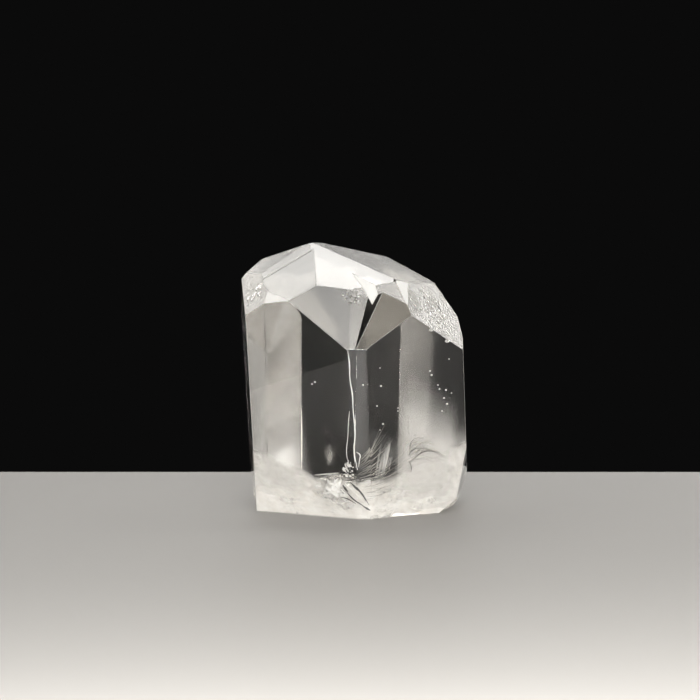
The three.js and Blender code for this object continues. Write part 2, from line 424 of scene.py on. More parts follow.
class Graph:
    """A new material and its nodes, which are added one by one."""

    def __init__(self, name: str) -> None:
        """Makes a material of that name, with no nodes yet."""
        self.material = bpy.data.materials.new(name)
        self.material.use_nodes = True
        self.tree = self.material.node_tree
        self.tree.nodes.clear()

    def add(self, kind: str, inputs: dict, **settings: object) -> bpy.types.Node:
        """Adds a node with its settings and links.

        Args:
            kind: The node's type, such as "Bump".
            inputs: Values, or sockets to link from, by input name or number.
            **settings: The node's own options.

        Returns:
            The new node.
        """
        node = self.tree.nodes.new(f"ShaderNode{kind}")
        put(node, **settings)
        for key, value in inputs.items():
            if isinstance(value, Socket):
                self.tree.links.new(value, node.inputs[key])
            else:
                node.inputs[key].default_value = value
        return node

    def chart(self, kind: str) -> Socket:
        """The surface's own coordinates: "Object" (m) or "UV" (shares of a sheet)."""
        return self.add("TexCoord", {}).outputs[kind]

    def stretched(self, place: Socket, scale: tuple, turn: float = 0.0) -> Socket:
        """Coordinates scaled along each axis, and turned about the third (degrees)."""
        inputs = {"Vector": place, "Scale": scale, "Rotation": (0, 0, math.radians(turn))}
        return self.add("Mapping", inputs).outputs[0]

    def noise(self, place: Socket, scale: float, detail: float, **more: float) -> Socket:
        """Soft noise from 0 to 1; more sets its other inputs."""
        inputs = {"Vector": place, "Scale": scale, "Detail": detail, **more}
        return self.add("TexNoise", inputs).outputs["Fac"]

    def maths(self, operation: str, *values: Socket | float) -> Socket:
        """The result of a calculation."""
        return self.add("Math", dict(enumerate(values)), operation=operation).outputs[0]

    def ramp(self, value: Socket, low: float, high: float, top: float = 1.0) -> Socket:
        """A soft step from 0, where the value is low, to the top, where it is high."""
        inputs = {"Value": value, "From Min": low, "From Max": high, "To Max": top}
        return self.add("MapRange", inputs, interpolation_type="SMOOTHSTEP").outputs[0]

    def blend(self, share: Socket, dull: str, pale: str) -> Socket:
        """A colour between a dull one and a pale one."""
        inputs = {"Factor": share, 6: linear_colour(dull), 7: linear_colour(pale)}
        return self.add("Mix", inputs, data_type="RGBA").outputs[2]

    def bump(self, height: Socket, depth: float, **under: Socket) -> Socket:
        """A normal bent by a relief so deep (mm), on top of the one under it."""
        inputs = {"Height": height, "Strength": 1.0, "Distance": depth * MM, **under}
        return self.add("Bump", inputs).outputs[0]

    def finish(self, inputs: dict, **ends: Socket) -> bpy.types.Material:
        """Adds the shader and what the material ends in, and gives the finished material."""
        shader = self.add("BsdfPrincipled", inputs)
        self.add("OutputMaterial", {"Surface": shader.outputs[0], **ends})
        return self.material


@dataclass(frozen=True)
class ClearStone:
    """Phenakite: a clear, hard, strongly refracting silicate with a glassy lustre.

    The stone itself has no colour and next to no absorption, so all that the eye sees is
    light bent and mirrored by its surface. Each zone differs in that surface alone: how
    rough it is, its relief (mm), and its frost. Frost is the share of the light that a
    bruised or etched surface scatters at once, instead of letting it into the stone.
    """

    name: str
    roughness: float = 0.0
    grain: float = 0.4
    relief: float = 0.0
    stretch: Place = (1.0, 1.0, 1.0)
    pit_spacing: float = 0.0
    pit_depth: float = 0.0
    frost: float = 0.0
    tint: str = "#fdfdfb"
    depth_tint: str = "#f4efe6"
    absorption: float = 8.0

    def build(self) -> bpy.types.Material:
        """Makes the material.

        Returns:
            The new material.
        """
        graph = Graph(self.name)
        inputs = {
            "Base Color": linear_colour(self.tint),
            "Roughness": self.roughness,
            "IOR": PHENAKITE_IOR,
            "Transmission Weight": 1.0 - self.frost,
            "Normal": self._relief(graph),
        }
        inner = {"Color": linear_colour(self.depth_tint), "Density": self.absorption}
        return graph.finish(inputs, Volume=graph.add("VolumeAbsorption", inner).outputs[0])

    def _relief(self, graph: Graph) -> Socket:
        """Adds the surface's relief.

        Args:
            graph: The material's nodes.

        Returns:
            The socket with the bumped normal.
        """
        place = graph.chart("Object")
        spread = graph.stretched(place, tuple(s / (self.grain * MM) for s in self.stretch))
        normal = graph.bump(graph.noise(spread, 1.0, 3.0, Roughness=0.55), self.relief)
        if not self.pit_depth:
            return normal
        inputs = {"Vector": place, "Scale": 1 / (self.pit_spacing * MM), "Smoothness": 0.4}
        pits = graph.add("TexVoronoi", inputs, feature="SMOOTH_F1").outputs["Distance"]
        return graph.bump(pits, self.pit_depth, Normal=normal)


FINISHES = {
    # Growth face: mirror-flat, with only the faintest unevenness.
    Zone.SMOOTH: ClearStone("phenakite_growth_face", roughness=0.0, grain=1.2, relief=0.0006),
    # Growth face with fine steps: reflections break into streaks.
    Zone.STRIATED: ClearStone(
        "phenakite_striated_face", roughness=0.12, grain=0.5, relief=0.01, stretch=(1.0, 5.0, 1.0)
    ),
    # Natural acid etching: a satin face of low hillocks.
    Zone.ETCHED: ClearStone(
        "phenakite_etched_face", roughness=0.24, grain=0.15, relief=0.05, stretch=(1.0, 1.0, 0.6),
        pit_spacing=0.1, pit_depth=0.05, frost=0.18,
    ),
    # Deeper etching: close round pits.
    Zone.PITTED: ClearStone(
        "phenakite_pitted_face", roughness=0.3, grain=0.4, relief=0.05,
        pit_spacing=0.2, pit_depth=0.06, frost=0.2,
    ),
    # Fresh fracture, as on broken glass: bright, with ripples and hackles.
    Zone.FRACTURED: ClearStone(
        "phenakite_fracture", roughness=0.12, grain=0.6, relief=0.09, pit_spacing=0.5, pit_depth=0.08
    ),
    # Edge rubbed by handling: a hair-thin softened line.
    Zone.WORN: ClearStone("phenakite_worn_edge", roughness=0.34, grain=0.1, relief=0.004, frost=0.12),
    # Lightly etched growth face: it scatters what shows through it.
    Zone.SATIN: ClearStone(
        "phenakite_satin_face", roughness=0.42, grain=0.3, relief=0.03,
        pit_spacing=0.12, pit_depth=0.02, frost=0.35,
    ),
    # Growth face with a faint bloom: clear, but it blurs what shows through it.
    Zone.SILKY: ClearStone("phenakite_silky_face", roughness=0.1, grain=0.8, relief=0.002),
}


@dataclass(frozen=True)
class Haze:
    """Cloudy phenakite: stone so full of fine cracks or bubbles that it looks white.

    It covers a sheet in streaks and wisps, which thin out towards the sheet's rim. The
    pattern runs over the sheet's own UV map, so its size is in shares of the sheet. Where
    the wisps' noise is below one limit the sheet is open, and above the other it has its
    full cover. The relief is in mm, and the turn in degrees.
    """

    name: str
    pale: str = "#ffffff"
    dull: str = "#b9b4ad"
    cover: float = 0.9
    open_below: float = 0.35
    full_above: float = 0.6
    streaks: Pair = (3.0, 3.0)
    turn: float = 0.0
    rim: Pair = (0.15, 0.15)
    ragged: float = 0.4
    relief: float = 0.05
    low_rim: bool = True
    least_rim: float = 1e-4

    def build(self) -> bpy.types.Material:
        """Makes the material.

        Returns:
            The new material.
        """
        graph = Graph(self.name)
        chart = graph.chart("UV")
        spread = graph.stretched(chart, (*self.streaks, 1.0), self.turn)
        fade = self._rim_fade(graph, chart)
        frayed = graph.maths("MULTIPLY_ADD", fade, self.ragged, -self.ragged)
        wisps = graph.noise(spread, 1.0, 5.0, Roughness=0.6, Distortion=0.4)
        torn = graph.maths("ADD", wisps, frayed)
        shown = graph.ramp(torn, self.open_below, self.full_above, self.cover)
        fine = graph.noise(spread, 3.1, 4.0, Roughness=0.65)
        inputs = {
            "Base Color": graph.blend(fine, self.dull, self.pale),
            "Roughness": 0.6,
            "Specular IOR Level": 0.1,
            "Alpha": graph.maths("MULTIPLY", shown, fade),
            "Normal": graph.bump(fine, self.relief),
        }
        return graph.finish(inputs)

    def _rim_fade(self, graph: Graph, chart: Socket) -> Socket:
        """Adds a mask that falls to nothing at the sheet's rim.

        Args:
            graph: The material's nodes.
            chart: The socket with the sheet's UV map.

        Returns:
            The socket with the mask.
        """
        across, along, _ = graph.add("SeparateXYZ", {0: chart}).outputs
        from_side = graph.maths("PINGPONG", across, 0.5)
        if self.low_rim:
            from_end = graph.maths("PINGPONG", along, 0.5)
        else:
            from_end = graph.maths("SUBTRACT", 1.0, along)
        fades = [
            graph.ramp(distance, 0.0, max(rim, self.least_rim))
            for distance, rim in zip((from_side, from_end), self.rim)
        ]
        return graph.maths("MULTIPLY", *fades)


@dataclass(frozen=True)
class LightPaint:
    """Painted light for a fine crack, tube or bubble: a plain matt colour with a fine grain (mm),
    painted as the glint or the shade that light gives it.
    """

    name: str
    pale: str
    dull: str
    grain: float = 0.15
    roughness: float = 0.5

    def build(self) -> bpy.types.Material:
        """Makes the material.

        Returns:
            The new material.
        """
        graph = Graph(self.name)
        specks = graph.noise(graph.chart("Object"), 1 / (self.grain * MM), 2.0)
        colour = graph.blend(specks, self.dull, self.pale)
        return graph.finish({"Base Color": colour, "Roughness": self.roughness})


# Painted glint: air or brine in a tiny cavity mirrors the light from above, and this white paint stands
# in for it as a pale point or thread.
GLINT_PAINT = LightPaint("cavity_painted_glint", pale="#ffffff", dull="#d8d5cf")
# Painted light, dimmer: grey paint stands in for the lesser light that the ripples of a crack catch.
RIPPLE_LIGHT_PAINT = LightPaint("ripple_painted_light", pale="#bab6af", dull="#77746f")
# Painted shade: an open crack seen on edge lets no light back, and this near-black paint stands in for
# that as a dark line.
SHADE_PAINT = LightPaint("crack_painted_shade", pale="#3a3835", dull="#161513")


# --- crystal ---


@dataclass
class Crystal:
    """The whole crystal: prism, termination, growth steps and broken base.

    Edges sharper than an angle (degrees) are rounded by their wear (mm). A part of the
    surface lies on a face where the cosine between them and its distance (mm) fit. Upright
    edges that face the front, and edges that face back, stay clean: the last three values
    are limits of a normal's share in those directions.
    """

    left: Face = Face(-86.5, 93.5, 6.05)
    front_left: Face = Face(-30.5, 98, 5.94)
    front_edge: Face = Face(5, 96.5, 6.7)
    front_right: Face = Face(32.5, 94.5, 6.02)
    right: Face = Face(89, 88, 6.12)
    back_right: Face = Face(149.5, 86.8, 5.23, Zone.SILKY)
    back_left: Face = Face(212.5, 85.8, 5.5, Zone.SILKY)

    roof_front_left: Face = Face(-28.5, 33, 7.5)
    roof_front_right: Face = Face(9.5, 29, 6.92)
    roof_left: Face = Face(-60, 29, 7.9, Zone.STRIATED)
    roof_right: Face = Face(70, 19.5, 6.42, Zone.STRIATED)
    roof_back_right: Face = Face(147, 14, 6.8, Zone.SILKY)
    roof_back_left: Face = Face(-134.5, 20, 7.24, Zone.SILKY)
    steep_front: Face = Face(1.5, 58.5, 7.03, Zone.SILKY)
    steep_front_right: Face = Face(59.5, 55.5, 6.66, Zone.ETCHED)
    steep_front_left: Face = Face(-56.5, 56.5, 8.04, Zone.PITTED)
    steep_back_left: Face = Face(-108, 54.5, 7.68, Zone.SILKY)
    steep_back: Face = Face(178, 57, 7.1, Zone.SILKY)
    steep_back_right: Face = Face(124, 50, 6.45, Zone.SILKY)
    sliver_left: Face = Face(-38, 51.5, 8.02, Zone.SATIN)
    sliver_right: Face = Face(15, 43.5, 7.08, Zone.ETCHED)
    sliver_right_edge: Face = Face(42, 44, 7.1, Zone.SATIN)

    shoulder: tuple[Face, ...] = (
        Face(112, 60, 5.72, Zone.WORN),
        Face(112, 41.5, 6.34, Zone.STRIATED),
        Face(104, 69, 6.08, Zone.WORN),
        Face(96, 82, 5.94),
    )
    foot: tuple[Face, ...] = (
        Face(84, 101, 7.1),
        Face(88, 117, 8.35, Zone.FRACTURED),
        Face(76, 138, 9.15, Zone.FRACTURED),
        Face(128, 126, 8.55, Zone.FRACTURED),
        Face(-112, 118, 8.35, Zone.FRACTURED),
    )
    base: Face = Face(0, 180, 7.5, Zone.FRACTURED)

    recess_floor: Face = Face(5, 55.5, 6.88, Zone.SILKY)
    recess_riser: Face = Face(25.5, 66, 6.6, Zone.SILKY)
    notch_floor: Face = Face(-14, 48, 6.63, Zone.SATIN)
    notch_riser: Face = Face(101, 65, 1.75, Zone.SATIN)
    roof_step_depth: float = 0.06
    roof_step_line: Face = Face(33, 107, -1.82, Zone.SATIN)

    bowls: tuple[Bowl, ...] = (
        Bowl((3.1, 7.4, -1.6), 4.6, (-0.35, -0.75, 0.55)),
        Bowl((-3.6, 7.0, -1.5), 3.7, (0.3, -0.7, 0.6)),
        Bowl((3.7, -5.4, -5.7), 6.0, (0.0, 0.15, 1.0)),
    )
    nicks: tuple[Nick, ...] = (
        Nick((3.62, -4.45, 0.05), (0.34, 0.5, 0.3)),
        Nick((4.29, -4.8, 10.37), (0.2, 0.14, 0.12)),
        Nick((4.75, -4.5, 10.05), (0.12, 0.1, 0.09)),
        Nick((5.21, -4.15, 9.7), (0.24, 0.14, 0.12)),
    )

    edge_wear: float = 0.012
    sharp_from: float = 8.0
    block_size: float = 40.0
    same_turn: float = 0.9998
    same_plane: float = 0.08
    facing_front: float = 0.88
    upright: float = 0.2
    facing_back: float = 0.3

    @property
    def etch(self) -> tuple[EtchPatch, ...]:
        """The etched patches: hillocks and pits right, a pitted corner left, pits in front."""
        right, left, front = self.steep_front_right, self.steep_front_left, self.steep_front
        return (
            EtchPatch(right, (3.3, -4.3, 12.05), (0.34, 0.66), 16, (0.06, 0.2, 0.05), raised=True),
            EtchPatch(right, (4.4, -3.3, 11.5), (0.85, 1.25), 26, (0.09, 0.14, 0.05)),
            EtchPatch(left, (-5.47, -3.38, 12.3), (0.48, 0.75), 20, (0.1, 0.15, 0.06)),
            EtchPatch(front, (-0.1, -5.16, 12.2), (0.62, 0.5), 16, (0.09, 0.12, 0.05)),
        )

    @property
    def plane_faces(self) -> list[Face]:
        """Every plane face that encloses the crystal."""
        prism = [self.left, self.front_left, self.front_edge, self.front_right, self.right]
        prism += [self.back_right, self.back_left]
        roof = [self.roof_front_left, self.roof_front_right, self.roof_left, self.roof_right]
        roof += [self.roof_back_right, self.roof_back_left]
        steep = [self.steep_front, self.steep_front_right, self.steep_front_left]
        steep += [self.steep_back_left, self.steep_back, self.steep_back_right]
        slivers = [self.sliver_left, self.sliver_right, self.sliver_right_edge]
        return [self.base, *prism, *roof, *steep, *slivers, *self.shoulder, *self.foot]

    @property
    def step_faces(self) -> list[Face]:
        """The faces of the growth steps and the notch."""
        notch = [self.notch_floor, self.notch_riser]
        return [self.recess_floor, self.recess_riser, *notch, self.roof_step_line]

    def build(self) -> Piece:
        """Models the crystal and gives it its finishes.

        Returns:
            The finished piece (mm).
        """
        piece = self._faceted_body()
        self._cut_steps(piece)
        self._wear_edges(piece)
        for cutter in (*self.bowls, *self.nicks):
            subtract(piece, cutter.build())
        for patch in self.etch:
            subtract(piece, patch.build(), patch.raised)
        self._dress(piece)
        return piece

    def depth_point(self, origin: Vector, direction: Vector, depth: float) -> Vector:
        """Follows a line of sight into the stone, bent as the stone bends it.

        Args:
            origin: Where the line starts (mm).
            direction: The line's unit direction.
            depth: How far to go on inside the stone (mm).

        Returns:
            The point reached (mm).
        """
        entry, normal = 0.0, Vector()
        for face in self.plane_faces:
            into = direction.dot(face.normal)
            if into < -1e-6 and -face.height_of(origin) / into > entry:
                entry, normal = -face.height_of(origin) / into, face.normal
        cosine = -direction.dot(normal)
        sine_inside = math.sqrt(1 - cosine**2) / PHENAKITE_IOR
        bend = cosine / PHENAKITE_IOR - math.sqrt(1 - sine_inside**2)
        inside = direction / PHENAKITE_IOR + normal * bend
        return origin + direction * entry + inside * depth

    def _faceted_body(self) -> Piece:
        """Slices a block along every plane face.

        Returns:
            The closed body (mm).
        """
        piece = block(self.block_size)
        piece.name = "crystal_clear"
        for face in self.plane_faces:
            keep_side(piece, face, inside=True)
        return piece

    def _cut_steps(self, piece: Piece) -> None:
        """Lowers the growth steps, each between its floor and its riser.

        Args:
            piece: The crystal (mm), which is cut.
        """
        recess, notch = (self.recess_floor, self.recess_riser), (self.notch_floor, self.notch_riser)
        for floor, riser in (recess, notch):
            cutter = block(self.block_size)
            keep_side(cutter, floor, inside=False)
            keep_side(cutter, riser, inside=False)
            subtract(piece, cutter)
        cutter = block(self.block_size)
        keep_side(cutter, self.roof_front_left.sunk(self.roof_step_depth), inside=False)
        keep_side(cutter, self.roof_step_line, inside=False)
        keep_side(cutter, self.steep_front_left, inside=True)
        subtract(piece, cutter)

    def _wear_edges(self, piece: Piece) -> None:
        """Rounds every edge by the little that handling has rubbed off."""
        angle = math.radians(self.sharp_from)
        modify(piece, "BEVEL", width=self.edge_wear, segments=2, limit_method="ANGLE", angle_limit=angle)

    def _dress(self, piece: Piece) -> None:
        """Gives every part of the surface its finish, by the face that it lies on.

        Args:
            piece: The crystal (mm).
        """
        for zone in Zone:
            piece.data.materials.append(FINISHES[zone].build())
        faces = self.step_faces + self.plane_faces
        for polygon in piece.data.polygons:
            near = [face for face in faces if self._on_face(polygon, face)]
            zone = near[0].zone if near else self._curved_zone(polygon)
            polygon.material_index = zone.value
            polygon.use_smooth = not near

    def _on_face(self, polygon: bpy.types.MeshPolygon, face: Face) -> bool:
        """Whether a part of the surface belongs to a plane face."""
        same_turn = face.normal.dot(polygon.normal) > self.same_turn
        return same_turn and abs(face.height_of(polygon.center)) < self.same_plane

    def _curved_zone(self, polygon: bpy.types.MeshPolygon) -> Zone:
        """Finds the zone of a part of the surface that lies on no plane face.

        Args:
            polygon: The part of the surface.

        Returns:
            Its zone: fractured in a bowl, and otherwise worn or clean.
        """
        for bowl in self.bowls:
            out = (polygon.center - Vector(bowl.centre)).length
            if abs(out - bowl.radius) < bowl.radius * bowl.ripple_slack:
                return Zone.FRACTURED
        normal = polygon.normal
        front_edge = normal.y < -self.facing_front and abs(normal.z) < self.upright
        return Zone.SMOOTH if front_edge or normal.y > self.facing_back else Zone.WORN


# --- inside the stone ---


@dataclass
class Inside:
    """Places things inside the stone where they are seen from the front.

    A place is given as the pixel that it shows at, in the 700 by 700 frame, and its depth
    (mm) behind the face that it is seen through.
    """

    crystal: Crystal
    view: "View"

    def point(self, across: float, down: float, depth: float) -> Vector:
        """The point (mm) that shows at a pixel, at a depth."""
        origin, direction = self.view.ray(across, down)
        return self.crystal.depth_point(origin, direction, depth)


def unit_grid(columns: int, rows: int) -> Piece:
    """Adds a flat square grid of side 1, the start of a sheet."""
    options = {"x_subdivisions": columns, "y_subdivisions": rows, "size": 1}
    return added(bpy.ops.mesh.primitive_grid_add, **options)


@dataclass(frozen=True)
class Sheet:
    """A crack or veil: a curved sheet between four corners.

    Corners are places in mm: lower left, lower right, upper left and upper right. The sheet
    bulges and crumples (mm) across its own plane. It may have layers, with a gap (mm)
    between them.
    """

    name: str
    corners: tuple[Place, ...]
    finish: Haze
    bulge: float = 0.3
    crumple: float = 0.12
    crumple_size: float = 1.2
    cells: int = 64
    layers: int = 1
    gap: float = 0.16

    def build(self, inside: Inside) -> Piece:
        """Makes the sheet's layers and trims them to the stone.

        Args:
            inside: Where things are in the stone.

        Returns:
            The sheet (mm).
        """
        sheet = joined([self._layer(number) for number in range(self.layers)])
        trim_inside(sheet, inside.crystal)
        return dressed(sheet, self.name, self.finish)

    def _layer(self, number: int) -> Piece:
        """Shapes a grid into one layer.

        Its UV map is moved on by whole sheets, which leaves the rim where it is and gives
        the layer wisps of its own.

        Args:
            number: Which layer it is, counted from the front.

        Returns:
            The layer (mm).
        """
        low_left, low_right, high_left, high_right = (Vector(corner) for corner in self.corners)
        normal = (low_right - low_left).cross(high_left - low_left).normalized()
        sheet = unit_grid(self.cells, self.cells)
        for corner in sheet.data.uv_layers.active.data:
            corner.uv.x += number
        for vertex in sheet.data.vertices:
            u, v = vertex.co.x + 0.5, vertex.co.y + 0.5
            place = low_left.lerp(low_right, u).lerp(high_left.lerp(high_right, u), v)
            out = self.bulge * hump(u) * hump(v) - number * self.gap
            out += self.crumple * waves(place / self.crumple_size, 0.9)
            vertex.co = place + normal * out
        return sheet


@dataclass(frozen=True)
class Cloud(Sheet):
    """A milky zone: several thin, nearly flat layers, none of which hides much by itself."""

    bulge: float = 0.0
    crumple: float = 0.03
    layers: int = 4


def trim_inside(sheet: Piece, crystal: Crystal, margin: float = 0.03) -> None:
    """Cuts off what of an open sheet reaches out of the stone.

    Args:
        sheet: The sheet (mm).
        crystal: The stone that it lies in.
        margin: How far the sheet stays inside the faces (mm).
    """
    with whole_in_edit_mode(sheet):
        for face in crystal.plane_faces:
            bpy.ops.mesh.select_all(action="SELECT")
            cut_along(face, margin, clear_outer=True)


@dataclass(frozen=True)
class Thread:
    """A fine line in the stone: a thin tube through points (pixel, pixel, depth in mm).

    Its width is in mm, and its tip is as thick as that share of it.
    """

    points: tuple[Place, ...]
    width: float = 0.05
    tip: float = 0.35

    def build(self, inside: Inside) -> Piece:
        """Draws the tube along a smooth curve and turns it into a mesh.

        Args:
            inside: Where things are in the stone.

        Returns:
            The tube (mm).
        """
        tube = added(bpy.ops.curve.primitive_bezier_curve_add)
        bends = tube.data.splines[0].bezier_points
        bends.add(len(self.points) - 2)
        last = len(self.points) - 1
        for i, (bend, place) in enumerate(zip(bends, self.points)):
            bend.co = inside.point(*place)
            bend.handle_left_type = bend.handle_right_type = "AUTO"
            bend.radius = self.tip if i in (0, last) else uneven(i, 1, 2, 0.8, 1.2)
        put(tube.data, dimensions="3D", bevel_depth=self.width / 2, bevel_resolution=2)
        put(tube.data, resolution_u=6, use_fill_caps=True)
        bpy.ops.object.convert(target="MESH")
        return bpy.context.object


@dataclass(frozen=True)
class Speck:
    """A tiny cavity at (pixel, pixel, depth in mm), with its width (mm) and its proportions."""

    place: Place
    width: float = 0.07
    shape: Place = (1.0, 0.6, 0.85)

    def build(self, inside: Inside) -> Piece:
        """Adds the cavity: a small stone-shaped lump, wider than it is deep."""
        half_axes = tuple(share * self.width / 2 for share in self.shape)
        return ellipsoid(inside.point(*self.place), half_axes, 2)


@dataclass(frozen=True)
class Flake:
    """A loose splinter in a crack, at (pixel, pixel, depth in mm): a small scale, whose brightness is a
    painted glint.

    Its size is its width and height (mm), and it is turned (degrees) about its thickness.
    """

    place: Place
    size: Pair
    turn: float = 0.0
    thickness: float = 0.12
    jags: float = 4.3
    """How many jags come to one splinter's width."""

    def build(self, inside: Inside) -> Piece:
        """Crumples a small flat lump into a splinter.

        Args:
            inside: Where things are in the stone.

        Returns:
            The splinter (mm).
        """
        flake = added(bpy.ops.mesh.primitive_ico_sphere_add, subdivisions=4, radius=0.5)
        turned = Matrix.Rotation(math.radians(self.turn), 3, "Y")
        middle = inside.point(*self.place)
        extent = Vector((self.size[0], self.thickness, self.size[1]))
        for vertex in flake.data.vertices:
            jag = 1 + 0.9 * waves(vertex.co * self.jags + middle, 0.7)
            vertex.co = middle + turned @ (vertex.co * extent * jag)
        return flake


@dataclass(frozen=True)
class Group:
    """Several fine features that are one piece."""

    name: str
    parts: tuple[Thread | Speck | Flake, ...]
    finish: LightPaint

    def build(self, inside: Inside) -> Piece:
        """Builds the parts and joins them (mm)."""
        piece = joined([part.build(inside) for part in self.parts])
        return dressed(piece, self.name, self.finish)


@dataclass(frozen=True)
class BrokenFoot:
    """The crack that ran through the foot as the crystal was broken off.

    It leaves the base just behind the front faces and climbs to the back, higher at the
    sides than in the middle. Hair cracks along it make it white. Sizes are in mm. Over the
    flat share of its height, the crumples are still growing.
    """

    name: str
    finish: Haze
    half_width: float = 6.3
    behind_front: float = 0.2
    reach: float = 2.6
    rise: float = 2.25
    side_rise: float = 2.7
    side_power: float = 1.5
    lean: float = 0.85
    crumple: float = 0.2
    crumple_size: float = 1.5
    crumple_way: Place = (0.0, -0.6, 0.8)
    flat_share: float = 0.25
    columns: int = 200
    rows: int = 80

    def place(self, x: float, share: float, crystal: Crystal) -> Vector:
        """Where the crack is (mm).

        Args:
            x: The place across the crystal (mm).
            share: How far up the crack, from 0 at the base to 1 at its end.
            crystal: The stone that it runs through.

        Returns:
            The place in the modelling frame.
        """
        fronts = (crystal.front_left, crystal.front_edge, crystal.front_right)
        front = max(face.y_on_base(x) for face in fronts)
        aside = min(1.0, abs(x) / self.half_width)
        climb = self.rise + self.side_rise * aside**self.side_power
        back = front + self.behind_front + share * self.reach
        return Vector((x, back, climb * share**self.lean))

    def build(self, inside: Inside) -> Piece:
        """Shapes a grid into the crack and trims it to the stone.

        Args:
            inside: Where things are in the stone.

        Returns:
            The sheet (mm).
        """
        sheet = unit_grid(self.columns, self.rows)
        out = Vector(self.crumple_way) * self.crumple
        for vertex in sheet.data.vertices:
            share = vertex.co.y + 0.5
            place = self.place(vertex.co.x * 2 * self.half_width, share, inside.crystal)
            height = waves(place / self.crumple_size, 0.8, 5) * min(1.0, share / self.flat_share)
            vertex.co = place + out * height
        trim_inside(sheet, inside.crystal)
        return dressed(sheet, self.name, self.finish)


FEET = (
    BrokenFoot(
        "cloudy_foot",
        Haze(
            "cloudy_fracture", dull="#cbc5bd", cover=1.0, open_below=0.1, full_above=0.34,
            streaks=(5.0, 2.4), rim=(0.0, 0.34), ragged=0.34, relief=0.12, low_rim=False,
        ),
    ),
    BrokenFoot(
        "foot_wisps",
        Haze(
            "wispy_fracture", dull="#dedad3", cover=0.75, open_below=0.47, full_above=0.72,
            streaks=(6.0, 1.8), turn=18, rim=(0.0, 0.5), ragged=0.2, relief=0.1, low_rim=False,
        ),
        behind_front=0.12, reach=1.1, rise=2.0, side_rise=2.3, crumple=0.16,
    ),
)

THIN_CLOUD = Haze(
    "thin_cloud", dull="#dedad4", cover=0.25, open_below=0.0, full_above=0.52,
    streaks=(1.0, 1.8), turn=32, rim=(0.35, 0.75), ragged=0.2, relief=0.003, low_rim=False,
)
SOFT_CLOUD = replace(THIN_CLOUD, name="soft_cloud", streaks=(1.2, 2.0), turn=-24, rim=(0.25, 0.7))
BRIGHT_CLOUD = Haze(
    "bright_cloud", dull="#e8e4de", cover=0.24, open_below=0.15,
    streaks=(2.5, 2.5), rim=(0.5, 0.5), ragged=0.3, relief=0.003,
)

SHEETS = (
    # A fan of cracks that climbs from the foot's middle to the right.
    Sheet(
        "feather_crack",
        ((0.2, -5.0, 0.5), (1.9, -4.5, 1.7), (0.6, -3.9, 4.9), (2.5, -3.1, 5.4)),
        Haze(
            "feathered_crack", open_below=0.34, full_above=0.66, streaks=(5.2, 1.1), turn=-34,
            rim=(0.4, 0.45),
        ),
    ),
    # Faint veils of tiny bubbles, where older cracks have healed.
    Sheet(
        "left_veil",
        ((-2.3, -3.6, 1.7), (-0.1, -4.8, 1.9), (-2.0, -3.1, 5.2), (0.1, -4.2, 5.4)),
        Haze(
            "wispy_veil", pale="#f4f1ec", cover=0.65, open_below=0.46, full_above=0.78,
            streaks=(2.6, 1.6), turn=-28, rim=(0.4, 0.5),
        ),
    ),
    # Milky stone, full of bubbles too small to see.
    Cloud(
        "side_cloud",
        ((-5.9, -1.5, -0.2), (-2.0, -3.8, -0.2), (-5.3, -2.2, 8.4), (-2.5, -3.7, 9.0)),
        THIN_CLOUD,
    ),
    Cloud(
        "right_cloud",
        ((1.9, -4.7, -0.2), (5.9, -2.5, -0.2), (2.3, -4.5, 9.4), (5.9, -2.4, 6.6)),
        SOFT_CLOUD,
        layers=6,
    ),
    Cloud(
        "heart_cloud",
        ((-2.1, -4.3, 0.1), (0.3, -5.2, 0.1), (-2.0, -4.2, 2.9), (0.3, -5.0, 2.7)),
        BRIGHT_CLOUD,
        layers=5,
        gap=0.1,
    ),
)


def between(first: Place, last: Place, share: float) -> Place:
    """The place that lies that share of the way from the first to the last."""
    return tuple(a + (b - a) * share for a, b in zip(first, last))


def knot(centre: Place, reach: Pair, count: int) -> tuple[Flake, ...]:
    """A knot of tiny splinters, spread in a spiral.

    Args:
        centre: Its middle (pixel, pixel, depth in mm).
        reach: How far it spreads across and down (pixels).
        count: How many splinters it has.

    Returns:
        The splinters.
    """
    splinters = []
    for i, (out, angle) in enumerate(spiral(count)):
        across = centre[0] + reach[0] * out * math.cos(angle)
        down = centre[1] + reach[1] * out * math.sin(angle)
        width = uneven(i, 7, 5, 0.07, 0.19)
        height = width * uneven(i, 1, 3, 0.3, 0.8)
        splinters.append(Flake((across, down, centre[2]), (width, height), turn=67 * i))
    return tuple(splinters)


# Splinters, painted white as glints.
FLAKES = (
    *knot((349, 469, 0.4), (5, 9), 18),
    Flake((334, 489, 0.5), (0.85, 0.9), 20),
    Flake((328, 494, 0.5), (0.5, 0.45), -35),
    Flake((327, 474, 0.4), (1.2, 0.05), -8),
    Flake((344, 497, 0.3), (0.4, 0.24), 50),
    Flake((350, 505, 0.3), (0.34, 0.2), 15),
    Flake((318, 486, 0.4), (0.3, 0.22), -10),
    Flake((431, 500, 0.5), (0.32, 0.28), 0),
)


def arc(start: Place, end: Place, sag: float, width: float, knots: int = 4) -> Thread:
    """A curved line between two places, such as one ripple of a shell-like crack.

    Args:
        start: The first end (pixel, pixel, depth in mm).
        end: The other end.
        sag: How far the line bows out in its middle (pixels), to the left of its run.
        width: The line's width (mm).
        knots: How many points it runs through.

    Returns:
        The line.
    """
    run = (end[0] - start[0], end[1] - start[1])
    length = math.hypot(*run)
    points = []
    for i in range(knots):
        across, down, depth = between(start, end, i / (knots - 1))
        bow = hump(i / (knots - 1)) * sag / length
        points.append((across + run[1] * bow, down - run[0] * bow, depth))
    return Thread(tuple(points), width)


